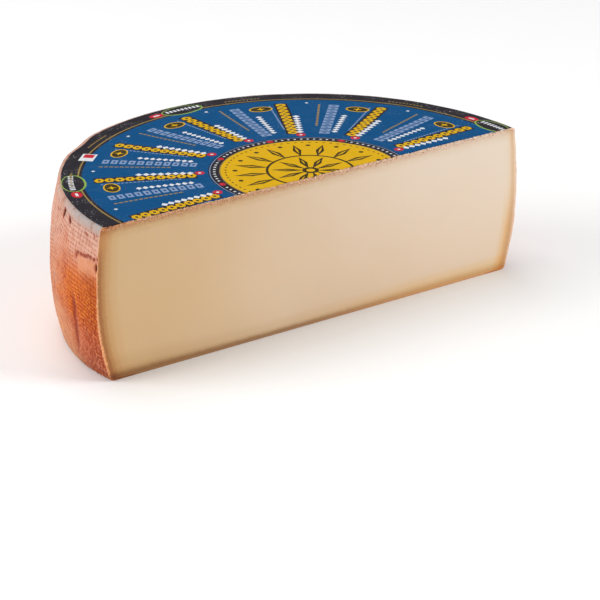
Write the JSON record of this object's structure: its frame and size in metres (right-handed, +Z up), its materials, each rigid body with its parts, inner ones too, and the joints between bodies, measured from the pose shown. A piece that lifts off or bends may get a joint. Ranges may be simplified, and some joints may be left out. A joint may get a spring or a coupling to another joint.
{
  "type": "half wheel of semi-hard cheese",
  "caption": "Half of a round wheel of semi-hard cheese with a bulging orange rind, a smooth flat cut face and a printed round paper label on its top.",
  "frame": {"origin": "on the surface that the cheese stands on, under the middle of its bounding box", "axes": "+Z up, along the wheel's axis; +X along the cut face; the cut face looks towards -Y and the rind curves round towards +Y"},
  "size_m": [0.3089, 0.1634, 0.095],
  "materials": {
    "cheese": "satin",
    "label": "satin"
  },
  "bodies": {
    "root": {"cheese_half_wheel": "cheese", "paper_label": "label"}
  },
  "joints": []
}
